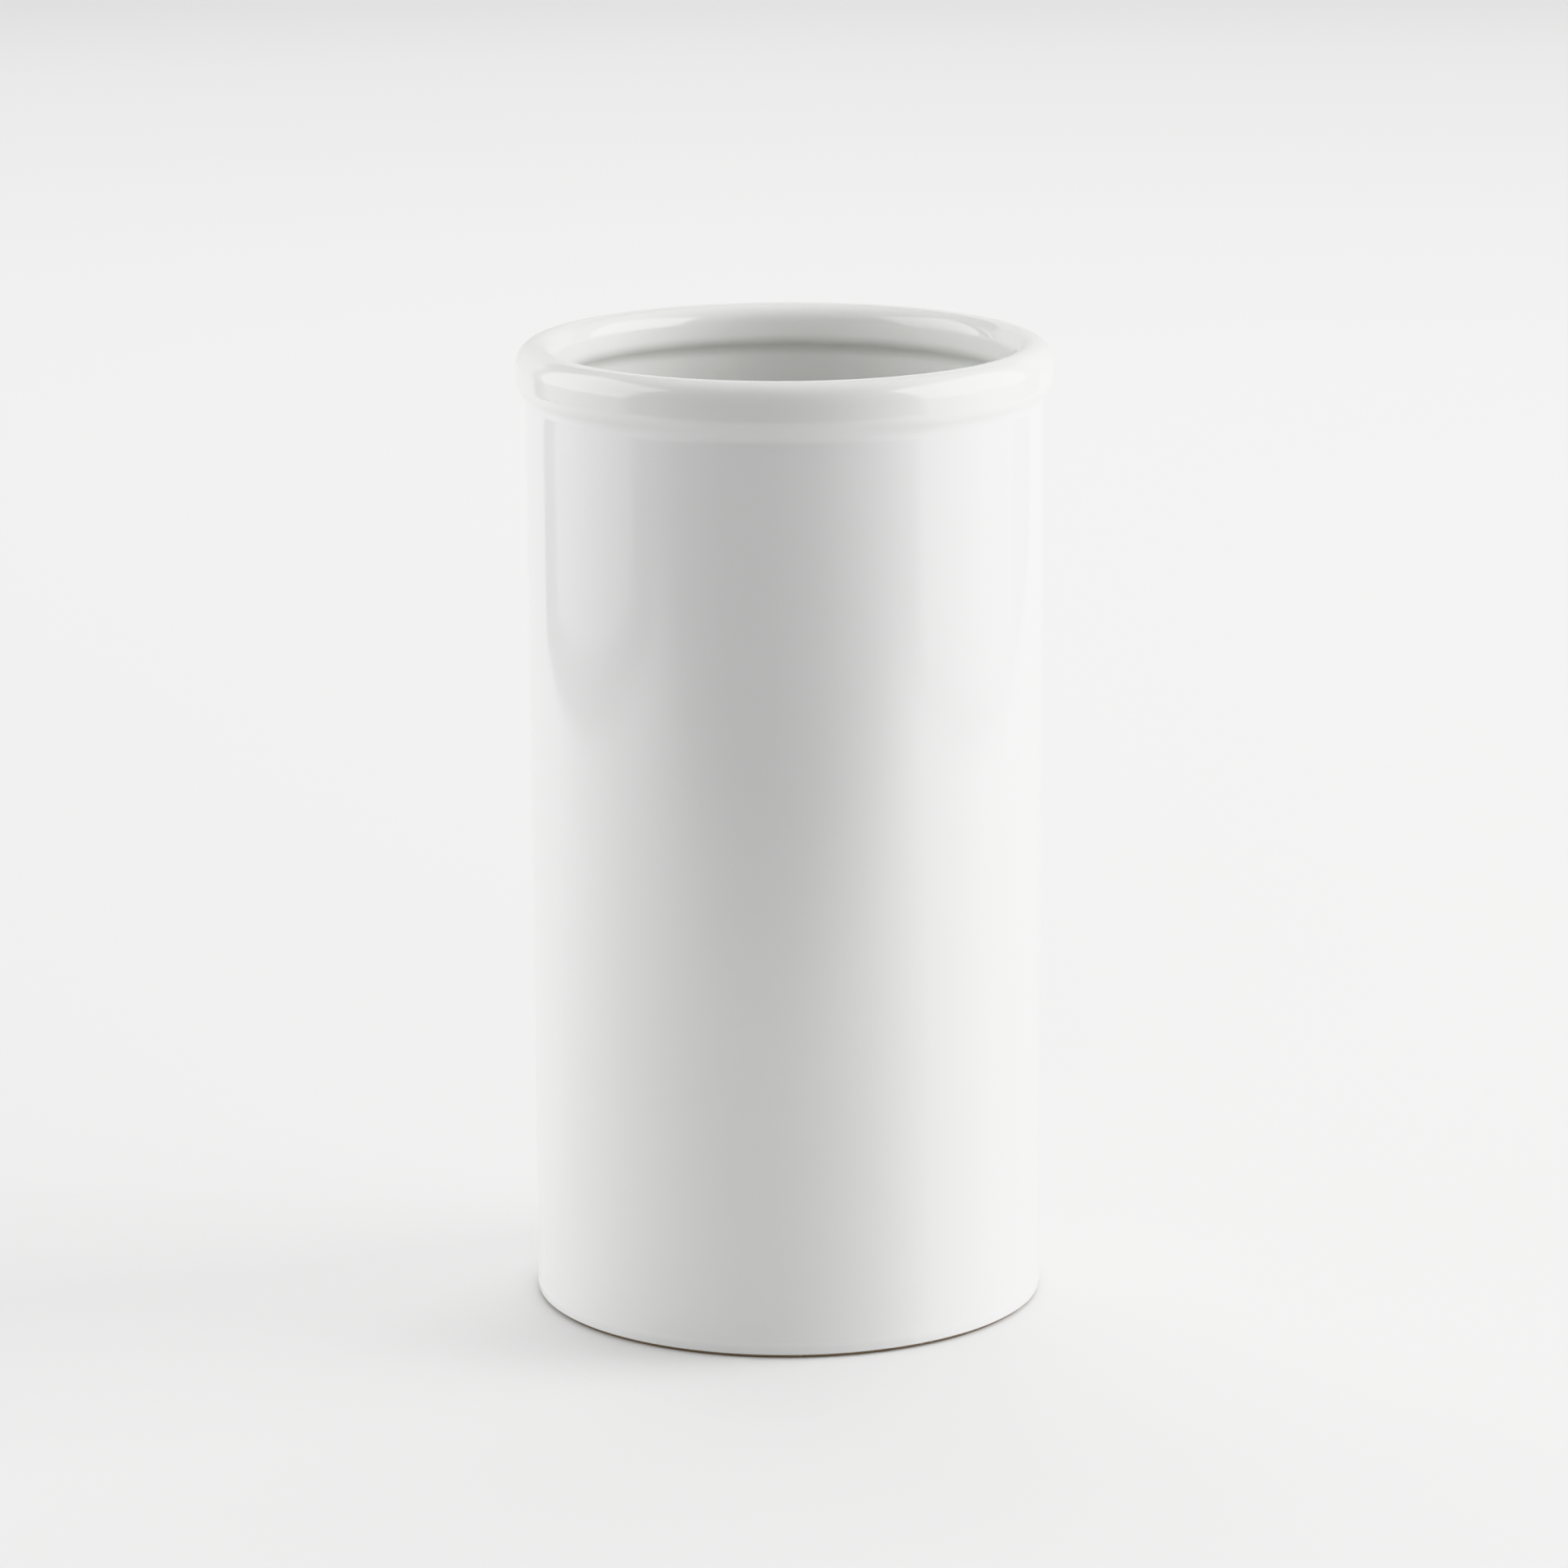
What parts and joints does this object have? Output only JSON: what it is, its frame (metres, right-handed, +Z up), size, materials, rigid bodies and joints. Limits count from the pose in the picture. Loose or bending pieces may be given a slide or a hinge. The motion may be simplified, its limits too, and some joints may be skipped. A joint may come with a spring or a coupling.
{
  "type": "cylinder vase",
  "caption": "Plain white glazed ceramic cylinder vase with a straight wall, a thick rolled rim and a bare clay foot ring, for stems, flowers or kitchen tools.",
  "frame": {"origin": "centre of the circle on which the foot ring stands, at table level", "axes": "+Z up along the axis of the turned form; +Y away from the picture's camera; +X to its right"},
  "size_m": [0.1096, 0.1096, 0.2],
  "materials": {
    "buff_clay": "bare fired clay, matt and slightly gritty",
    "white_glaze": "opaque white gloss glaze, thinner over the crest of the rim",
    "liner_glaze": "opaque white gloss liner glaze, poured",
    "underside_glaze": "thin white glaze in the foot recess"
  },
  "bodies": {
    "root": {"clay_body": "buff_clay", "outer_glaze": "white_glaze", "liner_glaze": "liner_glaze", "underside_glaze": "underside_glaze"}
  },
  "joints": []
}
